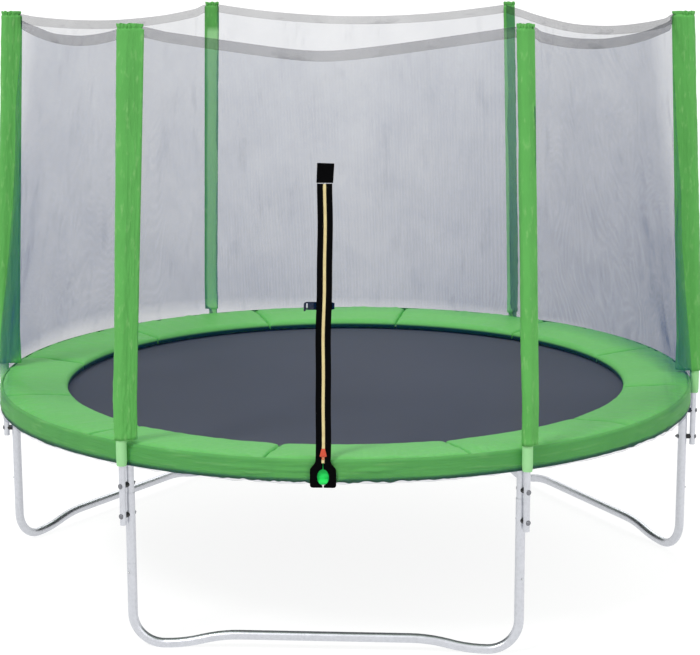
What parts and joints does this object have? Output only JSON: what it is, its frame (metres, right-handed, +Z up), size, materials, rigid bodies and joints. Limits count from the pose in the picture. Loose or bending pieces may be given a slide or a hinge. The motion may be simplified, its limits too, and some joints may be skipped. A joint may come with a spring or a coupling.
{
  "type": "trampoline",
  "caption": "Round garden trampoline on W-shaped legs, with padded poles, a zipped safety net and a green frame pad.",
  "frame": {"origin": "centre of the ground footprint, on the ground under the middle of the mat", "axes": "+Z up; the zip entrance faces -Y; +X is to the right when facing the entrance, through two opposite poles"},
  "size_m": [3.1469, 3.0806, 2.412],
  "materials": {
    "galvanised_tube": "satin zinc coat with a faint mottle",
    "plated_steel": "bright zinc plate",
    "dark_bolt_steel": "dull black",
    "dark_plastic": "moulded, slightly glossy",
    "green_foam": "closed-cell foam, matt",
    "green_cover": "coated fabric with a soft sheen and creases",
    "jump_fabric": "woven polypropylene, slightly glossy",
    "black_webbing": "woven webbing",
    "green_pad": "coated vinyl fabric, wrinkled, with sewn seams",
    "green_skirt": "coated fabric, darker",
    "net_mesh": "fine knitted mesh, half see-through",
    "grey_hem": "doubled net and binding",
    "yellow_chain": "moulded coil chain",
    "red_slider": "moulded"
  },
  "bodies": {
    "frame": {"frame_rail_right_back": "galvanised_tube", "frame_rail_back": "galvanised_tube", "frame_rail_left_back": "galvanised_tube", "frame_rail_left_front": "galvanised_tube", "frame_rail_front": "galvanised_tube", "frame_rail_right_front": "galvanised_tube", "leg_sockets": "galvanised_tube", "leg_upright_right": "galvanised_tube", "leg_upright_back_right": "galvanised_tube", "leg_upright_back_left": "galvanised_tube", "leg_upright_left": "galvanised_tube", "leg_upright_front_left": "galvanised_tube", "leg_upright_front_right": "galvanised_tube", "leg_base_right": "galvanised_tube", "leg_base_left": "galvanised_tube", "leg_base_front": "galvanised_tube", "pole_lower_right": "galvanised_tube", "pole_lower_back_right": "galvanised_tube", "pole_lower_back_left": "galvanised_tube", "pole_lower_left": "galvanised_tube", "pole_lower_front_left": "galvanised_tube", "pole_lower_front_right": "galvanised_tube", "pole_upper_right": "galvanised_tube", "pole_upper_back_right": "galvanised_tube", "pole_upper_back_left": "galvanised_tube", "pole_upper_left": "galvanised_tube", "pole_upper_front_left": "galvanised_tube", "pole_upper_front_right": "galvanised_tube", "snap_buttons": "plated_steel", "springs": "plated_steel", "pole_bolts": "dark_bolt_steel", "pole_nuts": "dark_bolt_steel", "pole_spacers": "dark_plastic", "pole_caps": "dark_plastic", "buckle_socket": "dark_plastic", "pole_foams": "green_foam", "pole_cover_right": "green_cover", "pole_cover_back_right": "green_cover", "pole_cover_back_left": "green_cover", "pole_cover_left": "green_cover", "pole_cover_front_left": "green_cover", "pole_cover_front_right": "green_cover", "zip_tapes": "black_webbing", "zip_tab": "black_webbing", "buckle_straps": "black_webbing", "frame_pad": "green_pad", "pad_skirt": "green_skirt", "net_panel_right_back": "net_mesh", "net_panel_back": "net_mesh", "net_panel_left_back": "net_mesh", "net_panel_left_front": "net_mesh", "net_panel_front": "net_mesh", "net_panel_right_front": "net_mesh", "net_hem": "grey_hem", "zip_chain": "yellow_chain"},
    "mat": {"jump_mat": "jump_fabric", "mat_webbing": "black_webbing", "mat_rings": "plated_steel"},
    "slider": {"zip_slider": "red_slider"},
    "tongue": {"buckle_tongue": "dark_plastic"}
  },
  "joints": [
    {"name": "mat_dip", "type": "slide", "parent": "frame", "child": "mat", "axis": [0, 0, 1], "range_m": [-0.35, 0], "stiffness_N_per_m": 5000, "springref_m": 0.05, "deforming": ["springs"]},
    {"name": "zip_slide", "type": "slide", "parent": "frame", "child": "slider", "axis": [0, 0.1836, 0.983], "range_m": [0, 0.96]},
    {"name": "buckle_pull", "type": "slide", "parent": "frame", "child": "tongue", "axis": [1, 0, 0], "range_m": [0, 0.028]}
  ]
}
